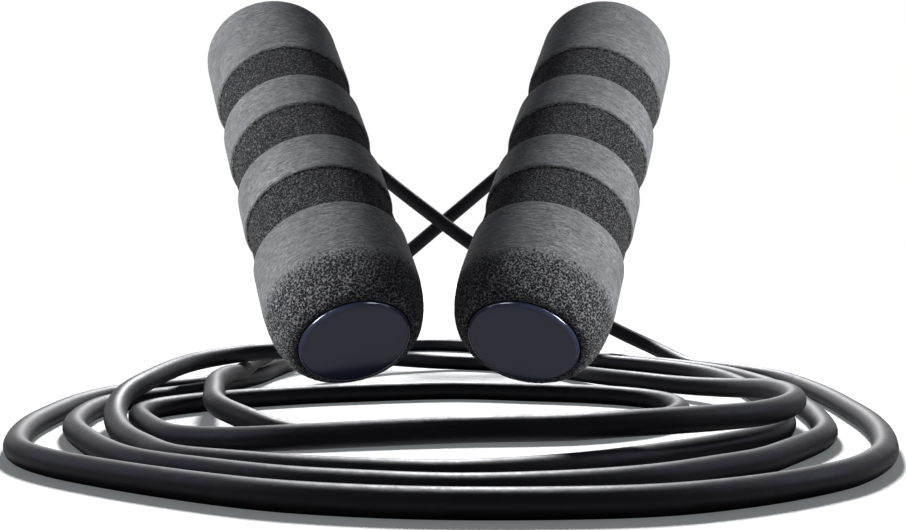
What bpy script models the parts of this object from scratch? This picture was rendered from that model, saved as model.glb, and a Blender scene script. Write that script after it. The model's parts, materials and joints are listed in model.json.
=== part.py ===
"""A skipping rope at rest: two foam handles on ball bearings, standing tilted in a loose coil of cord.

The frame is in metres, +Z up. Its origin lies on the floor, midway between the places where the two
handles rest on the cord. +Y points the way the handles lean, away from their end caps, and +X is to the
right. Each handle is modelled along the Z axis of its own empty, from the end cap (0) to the nose that
the cord leaves by.
"""

import math

import bmesh
import bpy
from mathutils import Matrix, Vector

MM = 0.001
GAP = 0.3  # mm between pieces that touch

# Driving dimensions, in millimetres along a handle (from the end cap's rim) and from its axis.
GRIP_RADIUS = 19.0
GRIP_START, GRIP_END = -0.3, 118.5
FRONT_ROUND = (15.8, 5.2)  # length and depth of the rounding beside the end cap
BACK_ROUND = (6.0, 4.2)  # the same at the nose
GROOVE_DEPTH = 0.8
GROOVE_SLOPE = 0.6  # length of each sloped side
GROOVE_WIDTH = 13.3
GROOVE_PITCH = 25.8
FIRST_GROOVE = 26.9
GROOVE_COUNT = 3
TUBE_RADIUS, TUBE_BORE = 11.0, 9.0
TUBE_START, TUBE_END = 4.0, 114.0
CAP_RADIUS = 13.0
CAP_FACE, CAP_BACK = -1.4, 2.3
CAP_RIM = 1.2  # radius of the rounded edge
CAP_SEAT = 2.6  # where the cap's seat in the foam ends
SKIRT_RADIUS = TUBE_BORE - GAP
SKIRT_WALL, SKIRT_END = 1.4, 15.0
NOSE_START, NOSE_TIP = 95.0, 127.0
NOSE_SHOULDER = 119.1  # where the nose starts to taper
NOSE_RADIUS, NOSE_TIP_RADIUS = 10.9, 5.6
NOSE_MOUTH = 3.6
POCKET_RADIUS = 7.3
WASHER_POCKET = (5.1, 111.9)  # radius, and where it ends
BEARING_START, BEARING_END = 104.7, 109.7
INNER_RACE = (3.5, 4.35)
OUTER_RACE = (6.15, 7.0)
BALL_RADIUS = 0.75
BALL_COUNT = 7
CAGE_HALF = 0.5  # half the height of the band between the balls
CAGE_WALL = 0.6
RING_RADII = (6.2, 7.55)
RING_START, RING_END = 103.35, 104.35
RING_SLOT = (7.8, 103.1, 104.6)  # radius, start and end
RING_GAP = (4.0, 2.2, 3.0)  # size of the block that opens the ring
SLEEVE_BORE, SLEEVE_RADIUS = 2.5, 3.2
FLANGE_RADIUS = 4.3
SLEEVE_END = 126.0
WASHER_RADII = (3.5, 4.7)
WASHER_START, WASHER_END = 110.0, 110.9
STOP_RADIUS = 4.2
STOP_START, STOP_END = 96.5, 102.6
SCREW_RADIUS, SCREW_LENGTH, SCREW_MIDDLE = 1.0, 2.0, 3.6
SCREW_HOLE_RADIUS, SCREW_HOLE_LENGTH, SCREW_HOLE_MIDDLE = 1.3, 2.6, 3.4
TAIL_START = 97.5

CORD_DIAMETER = 4.4
CORD_RADIUS = CORD_DIAMETER / 2
CORD_STEP = 9.0  # mm between the points of a free stretch
STRAIGHT_END = 1.0  # how far past the nose the cord stays on the axis
KNEE = 5.0  # how far past that its bend begins

# Each handle: centre of the end cap's rim, heading of the axis from +Y towards +X, and the tilt they share.
TILT_DEG = 43.1
HANDLES = {
    "left": ((-19.3, -10.3, 15.5), -22.1),
    "right": ((19.3, -10.7, 15.5), 20.7),
}

# The cord from each nose to where it lies down on the coil, each point in mm.
LEADS = {
    "left": [
        (-60.6, 91.4, 111.2), (-62, 100, 109), (-60, 107.5, 103), (-54, 111, 94.5),
        (-45, 111, 85), (-34, 108, 74.5), (-20, 103.5, 61), (-2, 99, 46.8),
        (11.5, 96, 37), (25.5, 95, 27.8), (39.6, 92, 19.3), (51.5, 88.5, 13),
    ],
    "right": [
        (57.9, 91.6, 111.2), (59.5, 100.5, 109.5), (58, 109, 104), (53, 114, 95.5),
        (44, 116, 85.5), (32, 115, 74.4), (18, 112, 61.4), (-2, 107.5, 44.3),
        (-15, 103.5, 33.3), (-26, 97, 25), (-36, 87, 17.5), (-43, 75, 13),
    ],
}

# The coil from above: its outer edge and the open middle, each a smooth loop through these points, in mm.
COIL_OUTER = [
    (93.4, 12), (92, -16), (86, -51), (74, -84), (47, -112), (3, -120), (-34, -110), (-66, -87),
    (-81.5, -53), (-80, -8), (-60, 26), (-53, 88), (-28, 138), (4, 147), (42, 113), (76, 67),
]
COIL_OPENING = [
    (44, -24), (43, -34), (39, -43), (33, -52), (18, -61), (3, -65), (-12, -62), (-24, -54),
    (-30, -45), (-33, -36), (-34, -28), (-28, -20), (-14, -17), (4, -16), (22, -17), (36, -19),
]
COIL_HEIGHT = 10.0
COIL_ROUND = 2.6
COIL_TUCK = 1.6  # how far the underside stands in from the edge
REST_HEIGHT = CORD_DIAMETER - GAP  # the coil is one turn high where the handles rest on it
REST_HALF = (50.0, 15.0)
REST_CUT = 40.0
LOOP_POINTS = 64


def clear_scene():
    for obj in list(bpy.data.objects):
        bpy.data.objects.remove(obj, do_unlink=True)


def material(name, colour, roughness, metallic=0.0):
    made = bpy.data.materials.new(name)
    made.use_nodes = True
    shader = made.node_tree.nodes["Principled BSDF"]
    shader.inputs["Base Color"].default_value = (*colour, 1.0)
    shader.inputs["Roughness"].default_value = roughness
    shader.inputs["Metallic"].default_value = metallic
    made.diffuse_color = (*colour, 1.0)
    return made


def add_object(name, mesh, surface, parent=None):
    mesh.materials.append(surface)
    obj = bpy.data.objects.new(name, mesh)
    bpy.context.scene.collection.objects.link(obj)
    obj.parent = parent
    return obj


def finish_mesh(name, bm, smooth_deg=35):
    bmesh.ops.recalc_face_normals(bm, faces=bm.faces)
    mesh = bpy.data.meshes.new(name)
    bm.to_mesh(mesh)
    bm.free()
    mesh.shade_smooth()
    mesh.set_sharp_from_angle(angle=math.radians(smooth_deg))
    return mesh


def turned_bmesh(outline, sides):
    """A closed outline of (radius, height) in mm, turned about Z. A radius of 0 makes a pole."""
    bm = bmesh.new()
    rings = []
    for radius, height in outline:
        ring = []
        for k in range(sides if radius else 1):
            angle = math.tau * k / sides
            point = Vector((radius * math.cos(angle), radius * math.sin(angle), height))
            ring.append(bm.verts.new(point * MM))
        rings.append(ring)
    for a, b in zip(rings, rings[1:] + rings[:1]):
        if len(a) == 1 and len(b) == 1:
            continue
        for k in range(sides):
            n = (k + 1) % sides
            if len(a) == 1:
                bm.faces.new((a[0], b[k], b[n]))
            elif len(b) == 1:
                bm.faces.new((a[k], b[0], a[n]))
            else:
                bm.faces.new((a[k], b[k], b[n], a[n]))
    return bm


def turned(name, outline, sides, surface, parent):
    return add_object(name, finish_mesh(name, turned_bmesh(outline, sides)), surface, parent)


def quarter(centre, size, start_deg, steps):
    """Points of a quarter ellipse about centre, from start_deg on, with size = (radial, along)."""
    points = []
    for k in range(steps + 1):
        angle = math.radians(start_deg + 90 * k / steps)
        points.append((centre[0] + size[0] * math.cos(angle), centre[1] + size[1] * math.sin(angle)))
    return points


def rectangle(radii, heights):
    """The outline of a plain ring."""
    (inner, outer), (low, high) = radii, heights
    return [(inner, low), (outer, low), (outer, high), (inner, high)]


def boolean(target, helper, operation="DIFFERENCE"):
    helper.hide_render = True
    helper.display_type = "WIRE"
    modifier = target.modifiers.new(helper.name, "BOOLEAN")
    modifier.operation = operation
    modifier.solver = "EXACT"
    modifier.object = helper


def smooth_path(points, closed=False):
    """A Catmull-Rom curve through the points, as a function of 0..1."""
    points = [Vector(p) for p in points]
    count = len(points) if closed else len(points) - 1

    def at(index):
        if closed:
            return points[index % len(points)]
        if index < 0:
            return points[0] * 2 - points[1]
        if index >= len(points):
            return points[-1] * 2 - points[-2]
        return points[index]

    def curve(u):
        place = u * count
        index = min(int(place), count - 1)
        t = place - index
        a, b, c, d = (at(index + k) for k in (-1, 0, 1, 2))
        square = (2 * a - 5 * b + 4 * c - d) * t**2
        cube = (3 * b - a - 3 * c + d) * t**3
        return 0.5 * (2 * b + (c - a) * t + square + cube)

    return curve


def even_points(curve, step):
    """Points along a curve, about step apart, with both ends."""
    fine = [curve(k / 400) for k in range(401)]
    lengths = [0.0]
    for a, b in zip(fine, fine[1:]):
        lengths.append(lengths[-1] + (b - a).length)
    count = max(2, round(lengths[-1] / step))
    points = []
    index = 0
    for k in range(count + 1):
        target = lengths[-1] * k / count
        while index < 399 and lengths[index + 1] < target:
            index += 1
        part = (target - lengths[index]) / max(lengths[index + 1] - lengths[index], 1e-9)
        points.append(fine[index].lerp(fine[index + 1], min(part, 1.0)))
    return points


# The handle's own pieces


def foam_grip(side, frame, surface):
    seat = CAP_RADIUS + GAP
    bore = TUBE_RADIUS + GAP
    length, depth = FRONT_ROUND
    outline = [(seat, GRIP_START)]
    outline += quarter((GRIP_RADIUS - depth, GRIP_START + length), (depth, length), -90, 6)
    floor = GRIP_RADIUS - GROOVE_DEPTH
    for k in range(GROOVE_COUNT):
        near = FIRST_GROOVE + k * GROOVE_PITCH
        far = near + GROOVE_WIDTH
        outline += [(GRIP_RADIUS, near - GROOVE_SLOPE), (floor, near)]
        outline += [(floor, far), (GRIP_RADIUS, far + GROOVE_SLOPE)]
    length, depth = BACK_ROUND
    outline += quarter((GRIP_RADIUS - depth, GRIP_END - length), (depth, length), 0, 4)
    outline += [(bore, GRIP_END), (bore, CAP_SEAT), (seat, CAP_SEAT)]
    turned(f"foam_grip_{side}", outline, 36, surface, frame)


def handle_tube(side, frame, surface):
    outline = rectangle((TUBE_BORE, TUBE_RADIUS), (TUBE_START, TUBE_END))
    turned(f"handle_tube_{side}", outline, 32, surface, frame)


def end_cap(side, frame, surface):
    """A flat disc with a rounded rim, and a hollow skirt that presses into the tube."""
    inside = SKIRT_RADIUS - SKIRT_WALL
    rim = quarter((CAP_RADIUS - CAP_RIM, CAP_FACE + CAP_RIM), (CAP_RIM, CAP_RIM), -90, 3)
    outline = [(0, CAP_FACE), *rim]
    outline += [(CAP_RADIUS, CAP_BACK), (SKIRT_RADIUS, CAP_BACK), (SKIRT_RADIUS, SKIRT_END)]
    outline += [(inside, SKIRT_END), (inside, CAP_BACK), (0, CAP_BACK)]
    turned(f"end_cap_{side}", outline, 32, surface, frame)


def nose_bush(side, frame, surface):
    """Presses into the tube's far end, holds the bearing, and tapers to the hole the cord leaves by."""
    shoulder = TUBE_END + GAP
    slot_radius, slot_start, slot_end = RING_SLOT
    washer_radius, washer_end = WASHER_POCKET
    taper = (NOSE_RADIUS - NOSE_TIP_RADIUS, NOSE_TIP - NOSE_SHOULDER)
    outline = [(POCKET_RADIUS, NOSE_START), (SKIRT_RADIUS, NOSE_START), (SKIRT_RADIUS, shoulder)]
    outline += [(NOSE_RADIUS, shoulder), *quarter((NOSE_TIP_RADIUS, NOSE_SHOULDER), taper, 0, 4)]
    outline += [(NOSE_MOUTH, NOSE_TIP), (NOSE_MOUTH, washer_end), (washer_radius, washer_end)]
    outline += [(washer_radius, BEARING_END + GAP), (POCKET_RADIUS, BEARING_END + GAP)]
    outline += [(POCKET_RADIUS, slot_end), (slot_radius, slot_end), (slot_radius, slot_start)]
    outline += [(POCKET_RADIUS, slot_start)]
    turned(f"nose_bush_{side}", outline, 28, surface, frame)


def bearing(side, frame, steel, brass):
    """The two races, and between them the seven balls joined by their cage as one solid."""
    for name, radii in (("bearing_inner", INNER_RACE), ("bearing_outer", OUTER_RACE)):
        turned(f"{name}_{side}", rectangle(radii, (BEARING_START, BEARING_END)), 32, steel, frame)
    middle = (BEARING_START + BEARING_END) / 2
    pitch = (INNER_RACE[1] + OUTER_RACE[0]) / 2
    radii = (pitch - CAGE_WALL / 2, pitch + CAGE_WALL / 2)
    band = rectangle(radii, (middle - CAGE_HALF, middle + CAGE_HALF))
    cage = turned(f"ball_cage_{side}", band, 28, brass, frame)
    balls = bmesh.new()
    for k in range(BALL_COUNT):
        angle = math.tau * (k + 0.37) / BALL_COUNT
        centre = Vector((pitch * math.cos(angle), pitch * math.sin(angle), middle)) * MM
        bmesh.ops.create_uvsphere(
            balls,
            u_segments=10,
            v_segments=6,
            radius=BALL_RADIUS * MM,
            matrix=Matrix.Translation(centre),
        )
    name = f"balls_{side}"
    boolean(cage, add_object(name, finish_mesh(name, balls), steel, frame), "UNION")


def retaining_ring(side, frame, steel):
    """An open spring ring in the slot beside the bearing, with its gap cut at +X."""
    ring = turned(f"retaining_ring_{side}", rectangle(RING_RADII, (RING_START, RING_END)), 28, steel, frame)
    block = bmesh.new()
    centre = Matrix.Translation(Vector((sum(RING_RADII) / 2, 0, (RING_START + RING_END) / 2)) * MM)
    bmesh.ops.create_cube(block, size=MM, matrix=centre @ Matrix.Diagonal((*RING_GAP, 1)))
    name = f"ring_gap_{side}"
    boolean(ring, add_object(name, finish_mesh(name, block), steel, frame))


def peg(name, radius, length, middle, height, surface, frame):
    """A cylinder that points away from the handle's axis, at +X."""
    bm = bmesh.new()
    place = Matrix.Translation(Vector((middle, 0, height)) * MM) @ Matrix.Rotation(math.radians(90), 4, "Y")
    bmesh.ops.create_cone(
        bm,
        cap_ends=True,
        segments=12,
        radius1=radius * MM,
        radius2=radius * MM,
        depth=length * MM,
        matrix=place,
    )
    return add_object(name, finish_mesh(name, bm), surface, frame)


def swivel(side, frame, brass, steel):
    """What turns in the inner race: a flanged sleeve round the cord, a washer and the cord's stop."""
    flange = STOP_END + GAP
    shank = BEARING_START - GAP
    sleeve = [
        (SLEEVE_BORE, flange), (FLANGE_RADIUS, flange), (FLANGE_RADIUS, shank), (SLEEVE_RADIUS, shank),
        (SLEEVE_RADIUS, SLEEVE_END), (SLEEVE_BORE, SLEEVE_END),
    ]
    turned(f"swivel_sleeve_{side}", sleeve, 20, brass, frame)
    washer = rectangle(WASHER_RADII, (WASHER_START, WASHER_END))
    turned(f"thrust_washer_{side}", washer, 20, steel, frame)
    collar = rectangle((SLEEVE_BORE, STOP_RADIUS), (STOP_START, STOP_END))
    stop = turned(f"cord_stop_{side}", collar, 20, brass, frame)
    height = (STOP_START + STOP_END) / 2
    hole = (SCREW_HOLE_RADIUS, SCREW_HOLE_LENGTH, SCREW_HOLE_MIDDLE)
    boolean(stop, peg(f"screw_hole_{side}", *hole, height, brass, frame))
    peg(f"stop_screw_{side}", SCREW_RADIUS, SCREW_LENGTH, SCREW_MIDDLE, height, steel, frame)


def handle_frame(side):
    """The empty that carries a handle, with its Z axis on the axis that the handle spins about."""
    centre, heading = HANDLES[side]
    frame = bpy.data.objects.new(f"handle_axis_{side}", None)
    bpy.context.scene.collection.objects.link(frame)
    turned_to = Matrix.Rotation(math.radians(-heading), 4, "Z")
    tilted = Matrix.Rotation(math.radians(TILT_DEG - 90), 4, "X")
    frame.matrix_world = Matrix.Translation(Vector(centre) * MM) @ turned_to @ tilted
    return frame


# The cord


def cord_lead(side, frame, surface):
    """The cord from its end inside the handle, out of the nose and down to the top of the coil."""
    ends = (TAIL_START, NOSE_TIP + STRAIGHT_END)
    straight = [frame.matrix_world @ Vector((0, 0, height * MM)) for height in ends]
    knee = frame.matrix_world @ Vector((0, 0, (NOSE_TIP + STRAIGHT_END + KNEE) * MM))
    route = [straight[1], knee] + [Vector(point) * MM for point in LEADS[side]]
    points = straight[:1] + even_points(smooth_path(route), CORD_STEP * MM)
    curve = bpy.data.curves.new(f"cord_lead_{side}", "CURVE")
    curve.dimensions = "3D"
    curve.bevel_depth = CORD_RADIUS * MM
    curve.bevel_resolution = 2
    curve.use_fill_caps = True
    spline = curve.splines.new("POLY")
    spline.points.add(len(points) - 1)
    for knot, point in zip(spline.points, points):
        knot.co = (*point, 1.0)
    add_object(f"cord_lead_{side}", curve, surface)


def cord_coil(surface):
    """The closed outer shape of the loosely wound turns, one turn high where the handles rest on it."""
    outer = smooth_path([(*p, 0) for p in COIL_OUTER], closed=True)
    inner = smooth_path([(*p, 0) for p in COIL_OPENING], closed=True)
    high, soft = COIL_HEIGHT, COIL_ROUND
    section = [(COIL_TUCK, 0), (0, soft), (0, high - soft), (soft, high)]
    bm = bmesh.new()
    rings = []
    for k in range(LOOP_POINTS):
        a, b = outer(k / LOOP_POINTS), inner(k / LOOP_POINTS)
        inward = (b - a).normalized()
        ring = [a + inward * offset + Vector((0, 0, z)) for offset, z in section]
        ring += [b - inward * offset + Vector((0, 0, z)) for offset, z in reversed(section)]
        rings.append([bm.verts.new(point * MM) for point in ring])
    for a, b in zip(rings, rings[1:] + rings[:1]):
        for k in range(len(a)):
            n = (k + 1) % len(a)
            bm.faces.new((a[k], b[k], b[n], a[n]))
    coil = add_object("cord_coil", finish_mesh("cord_coil", bm), surface)
    block = bmesh.new()
    centre = Matrix.Translation(Vector((0, 0, REST_HEIGHT + REST_CUT / 2)) * MM)
    size = Matrix.Diagonal((2 * REST_HALF[0], 2 * REST_HALF[1], REST_CUT, 1))
    bmesh.ops.create_cube(block, size=MM, matrix=centre @ size)
    boolean(coil, add_object("handle_rest", finish_mesh("handle_rest", block), surface))


def main():
    clear_scene()
    foam = material("foam", (0.09, 0.092, 0.096), 0.85)
    hard = material("black_plastic", (0.014, 0.015, 0.022), 0.3)
    core = material("core_plastic", (0.05, 0.05, 0.055), 0.5)
    cord = material("cord_pvc", (0.012, 0.012, 0.013), 0.32)
    steel = material("steel", (0.6, 0.6, 0.62), 0.25, 1.0)
    brass = material("brass", (0.78, 0.58, 0.25), 0.3, 1.0)
    for side in HANDLES:
        frame = handle_frame(side)
        foam_grip(side, frame, foam)
        handle_tube(side, frame, core)
        end_cap(side, frame, hard)
        nose_bush(side, frame, hard)
        bearing(side, frame, steel, brass)
        retaining_ring(side, frame, steel)
        swivel(side, frame, brass, steel)
        cord_lead(side, frame, cord)
    cord_coil(cord)


main()
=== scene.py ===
"""How the skipping rope looks: a smooth black cord in a loose coil, and two foam handles standing in it.

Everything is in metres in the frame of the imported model, +Z up, with the origin on the floor between the
handles. Lengths with names below are in millimetres. A handle's own pieces are built along the Z axis of
that handle, from its end cap (0) to its nose, and then set in place on the axis that it spins about.
"""

import json
import math

import bpy
import numpy as np
from mathutils import Matrix, Vector, noise


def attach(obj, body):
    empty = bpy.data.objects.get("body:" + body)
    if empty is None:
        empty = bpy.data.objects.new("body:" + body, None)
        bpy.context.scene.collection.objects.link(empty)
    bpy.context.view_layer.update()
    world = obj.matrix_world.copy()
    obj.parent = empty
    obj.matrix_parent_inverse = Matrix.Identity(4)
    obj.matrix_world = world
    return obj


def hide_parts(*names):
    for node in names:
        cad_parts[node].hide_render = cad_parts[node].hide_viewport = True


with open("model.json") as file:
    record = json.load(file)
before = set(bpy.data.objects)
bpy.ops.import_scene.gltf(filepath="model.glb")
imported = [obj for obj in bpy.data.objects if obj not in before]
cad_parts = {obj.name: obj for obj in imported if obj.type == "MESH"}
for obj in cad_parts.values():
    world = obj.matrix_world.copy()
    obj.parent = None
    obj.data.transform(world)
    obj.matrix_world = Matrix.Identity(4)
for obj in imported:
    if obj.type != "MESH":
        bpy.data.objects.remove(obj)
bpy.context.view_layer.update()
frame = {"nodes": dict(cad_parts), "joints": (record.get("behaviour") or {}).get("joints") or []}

MM = 0.001
SIDES = ("left", "right")

# Places along a handle and radii, in mm, as the frame's own solids have them.
BEARING_MIDDLE = 107.2
GRIP_RADIUS = 19.0
GRIP_START, GRIP_END = -0.3, 118.5
FRONT_ROUND = (15.8, 5.2)  # length and depth of the rounding beside the end cap
BACK_ROUND = (6.0, 4.2)  # the same at the nose
CAP_RADIUS = 13.0
CAP_FACE, CAP_BACK = -1.4, 2.3
CAP_SEAT = 2.6
SKIRT_INSIDE, SKIRT_OUTSIDE, SKIRT_END = 7.3, 8.7, 15.0
TUBE_RADIUS = 11.0
NOSE_TIP = 127.0
FIRST_GROOVE, GROOVE_PITCH, GROOVE_WIDTH = 26.9, 25.8, 13.3
GROOVE_COUNT = 3

# What the visible foam and cap have of their own, in mm.
GROOVE_DEPTH = 0.95
GROOVE_WALL = 0.35  # length over which a groove's wall falls
EDGE_ROLL, EDGE_ROLL_LENGTH = 0.22, 1.2  # how the skin sinks towards a groove
CELL_LIFT, SKIN_LIFT = 0.11, 0.05  # unevenness of the cut foam and of the skin
CELLS_FULL, CELLS_START = 6.0, 14.0  # between these the skin gives way to open cells beside the cap
BACK_CELLS, BACK_BLEND = 3.0, 2.0  # the cells begin this far before the far end, over this length
PALE_CELLS, PALE_BLEND = 18.0, 6.0  # the paler cells beside the cap end here, over this length
BORE_GAP, SEAT_GAP = 0.25, 0.3
CAP_EDGE = 1.0
CAP_DISH = 0.2
EDGE_ZONE = 1.4  # within this of a groove's edge the rows of points lie closest
EDGE_ROWS, CELL_ROWS, SKIN_ROWS = 0.14, 0.34, 0.6  # spacing of those rows, in the open cells and in the skin
GRIP_SIDES, CAP_SIDES = 330, 160  # points round each

# The cord
CORD_DIAMETER = 4.4
CORD_RADIUS = CORD_DIAMETER / 2
TAIL_START = 97.5  # where the cord ends inside the handle
STRAIGHT_END = 1.0  # how far past the nose the cord stays on the axis
KNEE = 5.0  # how far past that its bend begins
LEADS = {
    "left": [
        (-60.6, 91.4, 111.2), (-62, 100, 109), (-60, 107.5, 103), (-54, 111, 94.5),
        (-45, 111, 85), (-34, 108, 74.5), (-20, 103.5, 61), (-2, 99, 46.8),
        (11.5, 96, 37), (25.5, 95, 27.8), (39.6, 92, 19.3), (51.5, 88.5, 13),
    ],
    "right": [
        (57.9, 91.6, 111.2), (59.5, 100.5, 109.5), (58, 109, 104), (53, 114, 95.5),
        (44, 116, 85.5), (32, 115, 74.4), (18, 112, 61.4), (-2, 107.5, 44.3),
        (-15, 103.5, 33.3), (-26, 97, 25), (-36, 87, 17.5), (-43, 75, 13),
    ],
}

# The way down from the left lead, then the five turns of the coil, each clockwise from above and all but
# the last starting at the right, in mm. A point with two numbers lies on the floor, and one with three
# gives the height of the cord's middle.
LANDING = [(58, 85.5, 9.6), (64.6, 82, 6.6), (70, 73, 3.8), (74, 64), (79, 54)]
TURNS = [
    [
        (84.5, 44), (88.8, 34), (90.5, 20), (90.4, 3), (89.4, -12), (87.7, -27), (85.3, -44),
        (82.1, -58.5), (78.5, -70), (74, -81), (68, -90.5), (60.6, -98.7), (46, -108.8), (28.1, -115.7),
        (2.8, -117), (-17.5, -113.5), (-32.5, -107), (-49.9, -96.4), (-62.9, -86), (-71.3, -74),
        (-77.4, -53), (-79.4, -30), (-79, -16), (-76.5, -4.4), (-70.5, 5), (-62.5, 13.5),
        (-57.5, 21), (-54, 34), (-52, 58), (-48, 84), (-38, 113), (-25, 135), (-9, 145), (8, 141),
        (26, 127), (38.5, 108), (47.5, 89), (56, 77.5), (65, 67.5), (73, 55.5), (78.5, 42),
    ],
    [
        (81, 28), (82.5, 8), (81.5, -8), (79.5, -21), (76, -43), (69.8, -63.5), (54, -85.4),
        (47.5, -91), (39.7, -96.6), (32.6, -101), (19.9, -105.6), (2.8, -107.6), (-16.5, -103.8),
        (-26.3, -100), (-40.8, -92), (-49.3, -85.4), (-58.4, -72.7), (-69, -52), (-73, -30),
        (-71, -16), (-65, -8.3), (-59.5, -0.5), (-56.5, 7), (-55, 15), (-52.5, 26), (-49.5, 38),
        (-47.3, 57), (-43.4, 82), (-33.5, 110.5), (-21.5, 131), (-8, 140), (6, 136.5),
        (22.5, 123.5), (34.5, 105.5), (43.5, 86.5), (52.5, 74), (61.5, 64), (69.3, 52), (74, 39),
    ],
    [
        (75.5, 24), (75.5, 8), (74.5, -8), (73, -22), (70.5, -36), (66.8, -50), (61, -61.5),
        (52.8, -70), (43.9, -77.5), (35.8, -83.4), (28.3, -88.4), (18, -93.5), (2.8, -97.5),
        (-12.5, -95.5), (-24, -92.5), (-35.1, -88), (-43, -83.4), (-55.8, -63.4),
        (-62.4, -48, 3.5), (-64.2, -39.7, 5.2), (-64.3, -32.7, 6.6), (-63.2, -26.5, 7.5),
        (-61.9, -14.4, 8.5), (-58.7, 2.4, 9.4), (-50.6, 18, 9.9), (-42, 26, 9.9), (-33, 42, 8),
        (-20, 62, 5), (-4, 72, 2.8), (8, 73), (22, 65), (34, 49), (41, 33, 2.7),
    ],
    [
        (49.5, 19, 3), (58.5, 5.5, 3.2), (66, -7.5, 4), (70.2, -20.5, 5.2), (71.2, -33, 6.2),
        (70, -46, 6.8), (65.5, -59, 7.2), (56, -72.5, 7.6), (43, -81.5, 8), (32, -85.5, 8),
        (21, -87, 7.6), (2.7, -86, 7), (-21.2, -80.5, 5), (-30.3, -77, 4), (-38.8, -71, 3),
        (-48, -62.5), (-55.5, -50), (-60.3, -38.5), (-61, -29.5), (-56.5, -21), (-47.5, -12.5),
        (-35, -5.5), (-23.6, -1), (2.4, 5),
    ],
    [
        (23.5, 1), (33, -1.5), (43, -6.5), (50, -15), (51.5, -26), (48, -37.5), (40, -47),
        (28, -54), (15, -56.3), (2.7, -57.5), (-12, -60), (-24.5, -62.3), (-31, -60, 3.5),
        (-38.5, -53.5, 5), (-43.5, -45, 5.8), (-46.3, -33.5, 6.4), (-49.5, -17, 6.8),
        (-51, 3, 6.2), (-50.3, 18, 5.4), (-49.8, 30, 6.6), (-48.5, 48, 7.2), (-46, 62, 9.5),
    ],
]
CORD_STEP = 2.0  # mm between the points that the cord follows
CORD_SIDES = 24
TAIL_POINTS = 20  # points on each straight end inside a handle

# How the cord settles, with lengths in mm.
FREE_RAMP = 40  # length over which the cord becomes free to move beyond a lead's last point
NEIGHBOURS = 8  # points this close together along the cord don't push each other
WATCHED = 2.5  # other points nearer than a diameter and this are kept under watch
WATCH_ROUNDS = 8  # rounds between one search for them and the next
CLEARANCE, GRIP_CLEARANCE = 0.12, 0.25
GRIP_SPAN = (12, 112)  # the stretch of a grip that the cord is kept away from

LIGHTS_AIM = Vector((0, 0.02, 0.04))


# Small helpers


def handle_matrix(side):
    """From a handle's own millimetres to the frame, with Z on the joint's axis and X level."""
    joint = next(j for j in frame["joints"] if j["name"] == f"{side}_handle_spin")
    axis = Vector(joint["axis"]).normalized()
    across = axis.cross(Vector((0, 0, 1))).normalized()
    forward = axis.cross(across)
    turn = Matrix((across, forward, axis)).transposed().to_4x4()
    start = Vector(joint["pos_m"]) - axis * BEARING_MIDDLE * MM
    return Matrix.Translation(start) @ turn


HANDLE = {side: handle_matrix(side) for side in SIDES}


def mesh_object(name, points, faces, surface, matrix=None, values=None):
    """An object from points in mm. values is a dict of one number per point for the material to read."""
    mesh = bpy.data.meshes.new(name)
    mesh.from_pydata((np.asarray(points) * MM).tolist(), [], [list(f) for f in faces])
    for key, numbers in (values or {}).items():
        layer = mesh.attributes.new(key, "FLOAT", "POINT")
        layer.data.foreach_set("value", np.asarray(numbers, np.float32))
    mesh.shade_smooth()
    mesh.materials.append(surface)
    obj = bpy.data.objects.new(name, mesh)
    bpy.context.scene.collection.objects.link(obj)
    if matrix is not None:
        obj.matrix_world = matrix
    return obj


def lathe(outline, sides):
    """(points, faces) of a closed outline of (radius, height) turned about Z. A radius of 0 makes a pole."""
    points, rings = [], []
    angles = np.arange(sides) * math.tau / sides
    for radius, height in outline:
        first = len(points)
        if radius == 0:
            points.append((0.0, 0.0, height))
            rings.append([first] * sides)
            continue
        ring = np.stack([radius * np.cos(angles), radius * np.sin(angles), np.full(sides, height)], 1)
        points.extend(ring.tolist())
        rings.append(list(range(first, first + sides)))
    faces = []
    for a, b in zip(rings, rings[1:] + rings[:1]):
        if a[0] == a[1] and b[0] == b[1]:
            continue
        for k in range(sides):
            n = (k + 1) % sides
            corners = [a[k], a[n], b[n], b[k]]
            face = [c for i, c in enumerate(corners) if c != corners[i - 1]]
            faces.append(face)
    return points, faces


def arc(centre, radii, start_deg, end_deg, steps):
    """Points on an ellipse about centre, with radii = (radial, along)."""
    points = []
    for k in range(steps + 1):
        angle = math.radians(start_deg + (end_deg - start_deg) * k / steps)
        points.append((centre[0] + radii[0] * math.cos(angle), centre[1] + radii[1] * math.sin(angle)))
    return points


# Materials


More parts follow.
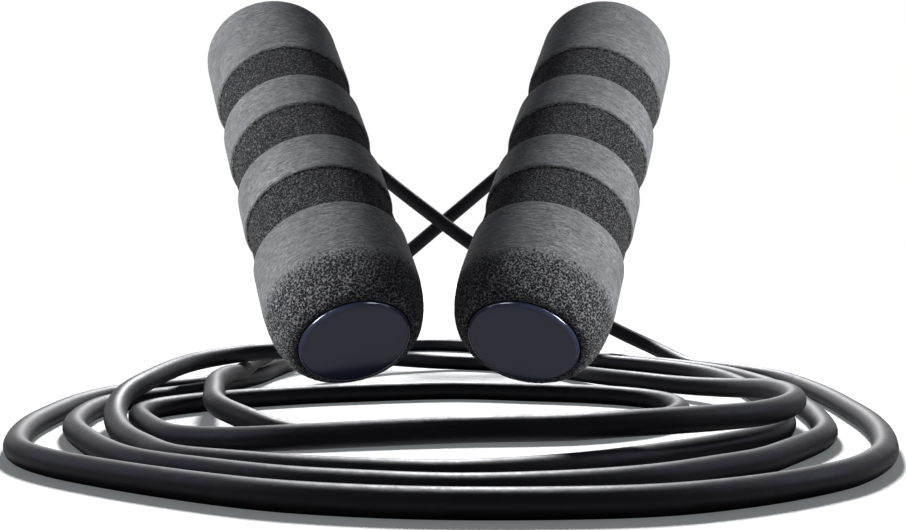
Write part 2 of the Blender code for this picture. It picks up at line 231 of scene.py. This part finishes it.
class Nodes:
    """Short names for building a material's node tree."""

    def __init__(self, name, colour, roughness, metallic=0.0, specular=0.5):
        self.material = bpy.data.materials.new(name)
        self.material.use_nodes = True
        self.tree = self.material.node_tree
        self.shader = self.tree.nodes["Principled BSDF"]
        self.shader.inputs["Base Color"].default_value = (*colour, 1.0)
        self.shader.inputs["Roughness"].default_value = roughness
        self.shader.inputs["Metallic"].default_value = metallic
        self.shader.inputs["Specular IOR Level"].default_value = specular
        self.material.diffuse_color = (*colour, 1.0)

    def add(self, kind, **settings):
        node = self.tree.nodes.new(kind)
        for key, value in settings.items():
            setattr(node, key, value)
        return node

    def link(self, out, into):
        self.tree.links.new(out, into)

    def place(self, scale=(1, 1, 1)):
        """The object's own coordinates in mm, each stretched by scale."""
        where = self.add("ShaderNodeTexCoord")
        mapping = self.add("ShaderNodeMapping")
        mapping.inputs["Scale"].default_value = [s / MM for s in scale]
        self.link(where.outputs["Object"], mapping.inputs["Vector"])
        return mapping.outputs["Vector"]

    def noise(self, vector, scale, detail=3.0, rough=0.5, distortion=0.0):
        node = self.add("ShaderNodeTexNoise")
        node.inputs["Scale"].default_value = scale
        node.inputs["Detail"].default_value = detail
        node.inputs["Roughness"].default_value = rough
        node.inputs["Distortion"].default_value = distortion
        self.link(vector, node.inputs["Vector"])
        return node.outputs["Fac"]

    def cells(self, vector, scale):
        node = self.add("ShaderNodeTexVoronoi")
        node.inputs["Scale"].default_value = scale
        self.link(vector, node.inputs["Vector"])
        return node.outputs["Distance"]

    def spread(self, value, low, high, to_low=0.0, to_high=1.0, smooth=False):
        """value from low..high to to_low..to_high, and held there."""
        node = self.add("ShaderNodeMapRange", interpolation_type="SMOOTHSTEP" if smooth else "LINEAR")
        self.link(value, node.inputs["Value"])
        for key, number in zip(("From Min", "From Max", "To Min", "To Max"), (low, high, to_low, to_high)):
            node.inputs[key].default_value = number
        return node.outputs["Result"]

    def math(self, operation, a, b):
        node = self.add("ShaderNodeMath", operation=operation)
        for socket, value in zip(node.inputs, (a, b)):
            if isinstance(value, (int, float)):
                socket.default_value = value
            else:
                self.link(value, socket)
        return node.outputs["Value"]

    def mix(self, factor, a, b, kind="RGBA"):
        node = self.add("ShaderNodeMix", data_type=kind)
        inputs = [s for s in node.inputs if s.enabled]
        for socket, value in zip(inputs, (factor, a, b)):
            if isinstance(value, bpy.types.NodeSocket):
                self.link(value, socket)
            elif isinstance(value, tuple):
                socket.default_value = (*value, 1.0)
            else:
                socket.default_value = value
        return next(s for s in node.outputs if s.enabled)

    def bump(self, height, distance, strength=1.0, after=None):
        node = self.add("ShaderNodeBump")
        node.inputs["Distance"].default_value = distance * MM
        node.inputs["Strength"].default_value = strength
        self.link(height, node.inputs["Height"])
        if after is not None:
            self.link(after, node.inputs["Normal"])
        return node.outputs["Normal"]

    def finish(self, **sockets):
        for key, out in sockets.items():
            self.link(out, self.shader.inputs[key.replace("_", " ")])
        return self.material


def foam_material():
    """Foam with a smooth, faintly wrinkled skin, and open cells where the attribute open is 1."""
    n = Nodes("foam_skin_and_cells", (0.1, 0.1, 0.105), 0.75, specular=0.2)
    where = n.place()
    opened = n.add("ShaderNodeAttribute", attribute_name="open").outputs["Fac"]
    ragged = n.noise(where, 1.6, 2.0)
    ragged = n.spread(ragged, 0.3, 0.7, -0.5, 0.5)
    edge = n.math("ADD", opened, n.math("MULTIPLY", ragged, 0.55))
    cellular = n.spread(edge, 0.35, 0.68, smooth=True)

    # Wrinkles in the skin run round the grip, a few millimetres long and a fraction of one wide.
    streaks = n.noise(n.place((0.42, 0.42, 2.9)), 1.0, 4.0, 0.62, 1.5)
    fine = n.noise(n.place((1.3, 1.3, 5.5)), 1.0, 3.0, 0.65, 0.8)
    mottle = n.noise(where, 0.11, 3.0, 0.55)
    skin = n.mix(n.spread(streaks, 0.4, 0.62), (0.058, 0.06, 0.065), (0.245, 0.249, 0.259))
    skin = n.mix(n.spread(mottle, 0.4, 0.65, 0.0, 0.5), skin, (0.075, 0.077, 0.082))
    skin = n.mix(n.spread(fine, 0.42, 0.6, 0.0, 0.55), skin, (0.055, 0.057, 0.061))

    # Open cells: dark pits between lighter walls, at two sizes. The pits' near-black is partly the foam's
    # grain and partly painted shade in the hollows of the cells.
    walls = n.cells(where, 2.1)
    grain = n.noise(where, 2.6, 3.0, 0.75)
    light = n.math("ADD", n.math("MULTIPLY", walls, 0.5), n.math("MULTIPLY", grain, 0.8))
    near_cap = n.add("ShaderNodeAttribute", attribute_name="near_cap").outputs["Fac"]
    wall = n.mix(near_cap, (0.088, 0.09, 0.097), (0.19, 0.193, 0.21))
    # painted shade: the near-black colour of the pits, which are also the lowest parts of the bump height
    cell = n.mix(n.spread(light, 0.61, 0.88), (0.001, 0.001, 0.0015), wall)

    colour = n.mix(cellular, skin, cell)
    skin_height = n.math("ADD", n.math("MULTIPLY", streaks, 0.6), n.math("MULTIPLY", fine, 0.5))
    height = n.mix(cellular, skin_height, n.math("MULTIPLY", light, 2.6), "FLOAT")
    normal = n.bump(height, 0.16, 1.0)
    roughness = n.spread(cellular, 0.0, 1.0, 0.6, 0.95)
    n.shader.inputs["Sheen Weight"].default_value = 0.05
    n.shader.inputs["Sheen Roughness"].default_value = 0.5
    return n.finish(Base_Color=colour, Roughness=roughness, Normal=normal)


def gloss_plastic(name, colour, roughness, specular=0.5, tint=(1, 1, 1)):
    """A glossy moulding with a faint ripple and fine marks in its gloss."""
    n = Nodes(name, colour, roughness, specular=specular)
    n.shader.inputs["Specular Tint"].default_value = (*tint, 1.0)
    where = n.place()
    ripple = n.noise(where, 0.07, 1.0)
    marks = n.noise(where, 0.5, 4.0, 0.7)
    darker, lighter = (tuple(c * change for c in colour) for change in (0.95, 1.06))
    shade = n.mix(n.spread(ripple, 0.3, 0.7), darker, lighter)
    gloss = n.spread(marks, 0.3, 0.75, roughness, roughness + 0.04)
    return n.finish(Base_Color=shade, Roughness=gloss, Normal=n.bump(ripple, 0.1, 0.2))


def cord_material():
    """Extruded PVC: satin, with a faint unevenness along it and a few duller patches."""
    n = Nodes("cord_pvc", (0.012, 0.012, 0.013), 0.48, specular=0.4)
    n.shader.inputs["Specular Tint"].default_value = (0.86, 0.87, 1.0, 1.0)
    where = n.place()
    grain = n.noise(where, 1.3, 4.0, 0.6)
    patches = n.noise(where, 0.09, 3.0)
    wave = n.noise(where, 0.28, 2.0)
    shade = n.mix(n.spread(patches, 0.3, 0.7), (0.012, 0.012, 0.0135), (0.018, 0.0178, 0.0198))
    gloss = n.math("ADD", n.spread(patches, 0.3, 0.7, 0.44, 0.53), n.spread(grain, 0.35, 0.7, 0.0, 0.07))
    normal = n.bump(wave, 0.35, 0.3, after=n.bump(grain, 0.03, 0.5))
    return n.finish(Base_Color=shade, Roughness=gloss, Normal=normal)


def turned_metal(name, colour, roughness):
    """Metal with fine marks that run round it, as a lathe or a grinder leaves."""
    n = Nodes(name, colour, roughness, 1.0)
    rings = n.noise(n.place((0.2, 0.2, 7.0)), 1.0, 2.0)
    dull = n.noise(n.place(), 0.8, 3.0)
    shade = n.mix(n.spread(dull, 0.3, 0.7), tuple(c * 0.82 for c in colour), colour)
    gloss = n.spread(rings, 0.3, 0.7, roughness - 0.06, roughness + 0.1)
    return n.finish(Base_Color=shade, Roughness=gloss, Normal=n.bump(rings, 0.02, 0.5))


def matte_plastic(name, colour):
    """A plain tube or moulding with a dull, slightly grained surface."""
    n = Nodes(name, colour, 0.5)
    grain = n.noise(n.place(), 4.0, 3.0)
    darker, lighter = (tuple(c * change for c in colour) for change in (0.9, 1.12))
    shade = n.mix(n.spread(grain, 0.3, 0.7), darker, lighter)
    gloss = n.spread(grain, 0.3, 0.7, 0.45, 0.6)
    return n.finish(Base_Color=shade, Roughness=gloss, Normal=n.bump(grain, 0.03))


# The cord's line


def drawn_route():
    """The cord's points as drawn, in mm: the left lead, the coil and the right lead, in running order."""
    ends = {}
    for side in SIDES:
        out = []
        for past in (STRAIGHT_END, STRAIGHT_END + KNEE):
            out.append(tuple(HANDLE[side] @ Vector((0, 0, (NOSE_TIP + past) * MM)) / MM))
        ends[side] = out + LEADS[side]
    turns = [point for turn in TURNS for point in turn]
    coil = [point if len(point) == 3 else (*point, CORD_RADIUS) for point in LANDING + turns]
    return ends["left"], coil, ends["right"][::-1]


def even_line(points, step):
    """A smooth curve through the points (Catmull-Rom), read every step or so."""
    points = np.array(points, float)
    knots = np.vstack([2 * points[0] - points[1], points, 2 * points[-1] - points[-2]])
    t = np.linspace(0, 1, 60, endpoint=False)[:, None]
    pieces = []
    for k in range(1, len(knots) - 2):
        a, b, c, d = knots[k - 1:k + 3]
        square = (2 * a - 5 * b + 4 * c - d) * t**2
        cube = (3 * b - a - 3 * c + d) * t**3
        pieces.append(0.5 * (2 * b + (c - a) * t + square + cube))
    fine = np.vstack(pieces + [points[-1:]])
    along = np.r_[0, np.cumsum(np.linalg.norm(np.diff(fine, axis=0), axis=1))]
    places = np.linspace(0, along[-1], int(round(along[-1] / step)) + 1)
    return np.stack([np.interp(places, along, fine[:, k]) for k in range(3)], 1)


def eased(line, rounds=60):
    """Irons out kinks shorter than about 20 mm and keeps the larger bends (Taubin's smoothing)."""
    for _ in range(rounds):
        for weight in (0.5, -0.53):
            change = np.zeros_like(line)
            change[1:-1] = (line[:-2] + line[2:]) / 2 - line[1:-1]
            line = line + weight * change
    return line


def smoothed(shift, times):
    for _ in range(times):
        inner = 0.5 * shift[1:-1] + 0.25 * (shift[:-2] + shift[2:])
        shift = np.vstack([shift[:1], inner, shift[-1:]])
    return shift


def settle(drawn, held, rounds=160):
    """Moves the drawn line smoothly until it lies a diameter from itself, off the grips and on the floor."""
    count = len(drawn)
    order = np.arange(count)
    ramp = FREE_RAMP / CORD_STEP
    free = np.clip((order - held[0]) / ramp, 0, 1) * np.clip((held[1] - order) / ramp, 0, 1)
    free = free[:, None]
    grips = [(np.array(HANDLE[s].translation) / MM, np.array(HANDLE[s].col[2][:3])) for s in SIDES]
    shift = np.zeros_like(drawn)
    for step in range(rounds):
        line = drawn + shift
        if step % WATCH_ROUNDS == 0:
            apart = np.linalg.norm(line[:, None] - line[None], axis=2)
            beyond = order[None] - order[:, None] > NEIGHBOURS
            i, j = np.nonzero((apart < CORD_DIAMETER + WATCHED) & beyond)
            loose = free[i, 0] + free[j, 0] > 0
            i, j = i[loose], j[loose]
        late = step > 0.75 * rounds
        away = line[i] - line[j]
        near = np.linalg.norm(away, axis=1)
        over = np.clip(CORD_DIAMETER + CLEARANCE - near, 0, None)
        away *= (0.5 * over / np.maximum(near, 1e-6))[:, None]
        push, hits = np.zeros_like(line), np.zeros(count)
        for ends, way in ((i, 1), (j, -1)):
            np.add.at(push, ends, way * away)
            np.add.at(hits, ends, over > 0)
        shift += push / np.maximum(hits, 1)[:, None] * free * (1.0 if late else 2.5)
        for start, axis in grips:
            rel = drawn + shift - start
            outward = rel - np.clip(rel @ axis, *GRIP_SPAN)[:, None] * axis
            far = np.linalg.norm(outward, axis=1, keepdims=True)
            room = GRIP_RADIUS + CORD_RADIUS + GRIP_CLEARANCE
            shift += outward / far * np.clip(room - far, 0, None) * free
        shift[:, 2] += np.clip(CORD_RADIUS - (drawn + shift)[:, 2], 0, None)
        shift = smoothed(shift, 2) if late else 0.997 * smoothed(shift, 6)
    line = drawn + shift
    line[:, 2] = np.maximum(line[:, 2], CORD_RADIUS)
    return line


def tube(line, radius, sides):
    """(points, faces) of a closed tube along a line, without twist, with flat ends."""
    ahead = np.gradient(line, axis=0)
    ahead /= np.linalg.norm(ahead, axis=1, keepdims=True)
    side = np.cross(ahead[0], (0, 0, 1.0))
    side /= np.linalg.norm(side)
    angles = np.arange(sides) * math.tau / sides
    points = []
    for centre, forward in zip(line, ahead):
        side = side - forward * (side @ forward)
        side /= np.linalg.norm(side)
        up = np.cross(forward, side)
        ring = centre + radius * (np.cos(angles)[:, None] * side + np.sin(angles)[:, None] * up)
        points.append(ring)
    points = np.vstack(points)
    faces = []
    for k in range(len(line) - 1):
        for s in range(sides):
            n = (s + 1) % sides
            faces.append((k * sides + s, k * sides + n, (k + 1) * sides + n, (k + 1) * sides + s))
    last = (len(line) - 1) * sides
    faces.append(tuple(range(sides))[::-1])
    faces.append(tuple(range(last, last + sides)))
    return points, faces


def make_cord(surface):
    left, coil, right = drawn_route()
    line = eased(even_line(left + coil + right, CORD_STEP))
    held = [int(np.argmin(np.linalg.norm(line - np.array(p), axis=1))) for p in (left[-1], right[0])]
    line = settle(line, held)
    tails = {side: HANDLE[side] @ Vector((0, 0, TAIL_START * MM)) / MM for side in SIDES}
    first = np.linspace(np.array(tails["left"]), line[0], TAIL_POINTS, endpoint=False)
    last = np.linspace(np.array(tails["right"]), line[-1], TAIL_POINTS, endpoint=False)[::-1]
    whole = np.vstack([first, line, last])
    points, faces = tube(whole, CORD_RADIUS, CORD_SIDES)
    cord = mesh_object("cord", points, faces, surface)
    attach(cord, "cord")
    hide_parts("cord_coil", "cord_lead_left", "cord_lead_right")
    return cord


# The handles


def grip_radius(t):
    """Radius of the foam at t mm from the end cap, with its soft edges."""
    for (length, depth), from_end in ((FRONT_ROUND, t - GRIP_START), (BACK_ROUND, GRIP_END - t)):
        if from_end < length:
            part = 1 - from_end / length
            return GRIP_RADIUS - depth + depth * math.sqrt(max(0.0, 1 - part * part))
    return GRIP_RADIUS


def grip_outline():
    """(radius, t, open) of the grip's outside, from the seat of the cap to the far end."""
    rows = []
    edges = []
    for k in range(GROOVE_COUNT):
        near = FIRST_GROOVE + k * GROOVE_PITCH
        edges += [near, near + GROOVE_WIDTH]
    t = GRIP_START
    while t < GRIP_END:
        part = 0.0
        for near, far in zip(edges[::2], edges[1::2]):
            inside = min(t - near, far - t)
            part = max(part, min(1.0, max(0.0, inside / GROOVE_WALL + 0.5)))
        depth = GROOVE_DEPTH * part * part * (3 - 2 * part)
        roll = 0.0
        for edge in edges:
            away = abs(t - edge)
            if part < 0.5 and away < EDGE_ROLL_LENGTH:
                roll = max(roll, EDGE_ROLL * (1 - away / EDGE_ROLL_LENGTH) ** 2)
        front = min(1.0, max(0.0, (CELLS_START - t) / (CELLS_START - CELLS_FULL)))
        back = min(1.0, max(0.0, (t - GRIP_END + BACK_CELLS) / BACK_BLEND))
        opened = max(part, front, back)
        rows.append((grip_radius(t) - depth - roll, t, opened))
        if min(abs(t - edge) for edge in edges) < EDGE_ZONE:
            t += EDGE_ROWS
        elif opened > 0:
            t += CELL_ROWS
        else:
            t += SKIN_ROWS
    return rows


def foam_grip(side, surface):
    """The grip's skin, uneven where its cells are open, with the two values that its material reads."""
    rows = grip_outline()
    outline = [(r, t) for r, t, _ in rows]
    opened = [o for _, _, o in rows]
    bore, seat = TUBE_RADIUS + BORE_GAP, CAP_RADIUS + SEAT_GAP
    close = [(bore, GRIP_END), (bore, CAP_SEAT), (seat, CAP_SEAT), (seat, GRIP_START)]
    outline += close
    opened += [1.0] * len(close)
    points, faces = lathe(outline, GRIP_SIDES)
    points = np.array(points)
    values = np.repeat(opened, GRIP_SIDES)
    near_cap = np.clip((PALE_CELLS - points[:, 2]) / PALE_BLEND, 0, 1)
    seed = Vector((0, 0, 0)) if side == "left" else Vector((37.0, 11.0, 5.0))
    outside = len(rows) * GRIP_SIDES
    lift = np.zeros(len(points))
    for k in range(outside):
        p = Vector(points[k]) + seed
        rough = noise.noise(p * 1.25) + 0.6 * noise.noise(p * 2.6)
        skin = noise.noise(Vector((p.x * 0.12, p.y * 0.12, p.z * 0.3)))
        lift[k] = CELL_LIFT * rough * values[k] + SKIN_LIFT * skin
    radial = points.copy()
    radial[:, 2] = 0
    radial /= np.linalg.norm(radial, axis=1, keepdims=True)
    points += radial * lift[:, None]
    read = {"open": values, "near_cap": near_cap}
    grip = mesh_object(f"foam_grip_skin_{side}", points, faces, surface, HANDLE[side], read)
    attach(grip, f"{side}_handle")
    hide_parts(f"foam_grip_{side}")
    return grip


def end_cap(side, surface):
    """The cap: a very slightly dished face with a soft round edge."""
    flat = CAP_RADIUS - CAP_EDGE
    outline = [(0, CAP_FACE + CAP_DISH)]
    outline += [(flat * k / 12, CAP_FACE + CAP_DISH * (1 - (k / 12) ** 2)) for k in range(1, 12)]
    outline += arc((flat, CAP_FACE + CAP_EDGE), (CAP_EDGE, CAP_EDGE), -90, 0, 14)
    outline += [(CAP_RADIUS, CAP_BACK), (SKIRT_OUTSIDE, CAP_BACK), (SKIRT_OUTSIDE, SKIRT_END)]
    outline += [(SKIRT_INSIDE, SKIRT_END), (SKIRT_INSIDE, CAP_BACK), (0, CAP_BACK)]
    points, faces = lathe(outline, CAP_SIDES)
    cap = mesh_object(f"end_cap_moulding_{side}", points, faces, surface, HANDLE[side])
    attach(cap, f"{side}_handle")
    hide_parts(f"end_cap_{side}")
    return cap


# The camera, the floor and the light


def seen_or_felt(n, seen, felt, into):
    """Feeds into with one value where the camera looks straight at it and another for all other light."""
    path = n.add("ShaderNodeLightPath")
    n.link(n.mix(path.outputs["Is Camera Ray"], felt, seen), into)


def stage():
    """A white floor and a white background. Both look brighter than the light that they give the object."""
    floor = Nodes("studio_floor", (0.9, 0.9, 0.9), 0.9, specular=0.1)
    seen_or_felt(floor, (0.95, 0.95, 0.95), (0.35, 0.35, 0.35), floor.shader.inputs["Base Color"])
    seen_or_felt(floor, (0.125, 0.135, 0.14), (0.0, 0.0, 0.0), floor.shader.inputs["Emission Color"])
    floor.shader.inputs["Emission Strength"].default_value = 1.0
    bpy.ops.mesh.primitive_plane_add(size=12.0, location=(0, 0, 0))
    plane = bpy.context.object
    plane.name = "floor"
    plane.data.materials.append(floor.material)
    world = bpy.data.worlds.new("studio")
    bpy.context.scene.world = world
    world.use_nodes = True
    tree = world.node_tree
    path = tree.nodes.new("ShaderNodeLightPath")
    level = tree.nodes.new("ShaderNodeMapRange")
    level.inputs["To Min"].default_value = 0.05
    level.inputs["To Max"].default_value = 1.0
    tree.links.new(path.outputs["Is Camera Ray"], level.inputs["Value"])
    tree.links.new(level.outputs["Result"], tree.nodes["Background"].inputs["Strength"])
    tree.nodes["Background"].inputs["Color"].default_value = (1, 1, 1, 1)


def area(name, place, size, power):
    """A rectangular light that the camera doesn't see, turned towards the object."""
    light = bpy.data.lights.new(name, "AREA")
    light.shape = "RECTANGLE"
    light.size, light.size_y = size
    light.energy = power
    obj = bpy.data.objects.new(name, light)
    obj.location = place
    obj.rotation_euler = (LIGHTS_AIM - Vector(place)).to_track_quat("-Z", "Y").to_euler()
    obj.visible_camera = False
    bpy.context.scene.collection.objects.link(obj)
    return obj


def linked(light, pieces, state="INCLUDE"):
    """Lets a light fall on these pieces alone or, with EXCLUDE, on everything else."""
    group = bpy.data.collections.new(light.name + "_linked")
    for piece in pieces:
        group.objects.link(piece)
    for entry in group.collection_objects:
        entry.light_linking.link_state = state
    light.light_linking.receiver_collection = group


def lights(pieces, cord):
    """The key from above and behind, which the grips and caps don't get and only the cord shades, a broad
    light behind, a soft box on each side, a fill for each handle and two lights for the caps alone."""
    sun = bpy.data.lights.new("key", "SUN")
    sun.energy = 5.1
    sun.angle = math.radians(12)
    obj = bpy.data.objects.new("key", sun)
    obj.rotation_euler = Vector((0, -1.1, -1)).to_track_quat("-Z", "Y").to_euler()
    bpy.context.scene.collection.objects.link(obj)
    linked(obj, pieces["left"] + pieces["right"], "EXCLUDE")
    shading = bpy.data.collections.new("key_blockers")
    shading.objects.link(cord)
    obj.light_linking.blocker_collection = shading
    area("back_wall", (0, 1.1, 0.3), (2.4, 0.5), 4.0)
    for side, way in (("left", -1), ("right", 1)):
        box = area(f"softbox_{side}", (way * 0.5, 0.0, 0.32), (0.22, 0.4), 0.65)
        box.data.color = (0.84, 0.84, 1.0)
        linked(box, [bpy.data.objects["floor"]], "EXCLUDE")
        fill = area(f"grip_fill_{side}", (way * 0.75, -0.34, 0.3), (0.25, 0.4), 15.0)
        linked(fill, pieces[side])
        rim = area(f"cap_rim_light_{side}", (way * 0.5, -0.3, 0.6), (0.3, 0.25), 3.0)
        linked(rim, [pieces[s][1] for s in SIDES])


def camera():
    data = bpy.data.cameras.new("camera")
    data.lens = 44.0
    data.sensor_width = 36.0
    data.clip_start = 0.01
    obj = bpy.data.objects.new("camera", data)
    obj.location = (0.0032, -0.263, 0.035)
    obj.rotation_euler = (math.radians(89.4824), 0, 0)
    bpy.context.scene.collection.objects.link(obj)
    bpy.context.scene.camera = obj


def main():
    bpy.context.scene.view_settings.view_transform = "Standard"
    camera()
    stage()
    cord = make_cord(cord_material())
    foam = foam_material()
    cap = gloss_plastic("cap_plastic", (0.02, 0.0235, 0.045), 0.14, 0.6, (0.8, 0.83, 1.0))
    nose = gloss_plastic("nose_plastic", (0.012, 0.012, 0.016), 0.35)
    core = matte_plastic("core_plastic", (0.05, 0.05, 0.055))
    steel = turned_metal("bearing_steel", (0.6, 0.6, 0.62), 0.25)
    brass = turned_metal("turned_brass", (0.78, 0.58, 0.25), 0.3)
    pieces = {side: (foam_grip(side, foam), end_cap(side, cap)) for side in SIDES}
    lights(pieces, cord)
    finishes = {
        "nose_bush": nose, "handle_tube": core, "bearing_outer": steel, "bearing_inner": steel,
        "retaining_ring": steel, "thrust_washer": steel, "stop_screw": steel, "ball_cage": brass,
        "swivel_sleeve": brass, "cord_stop": brass,
    }
    for side in SIDES:
        for name, finish in finishes.items():
            node = frame["nodes"][f"{name}_{side}"]
            node.data.materials.clear()
            node.data.materials.append(finish)


main()
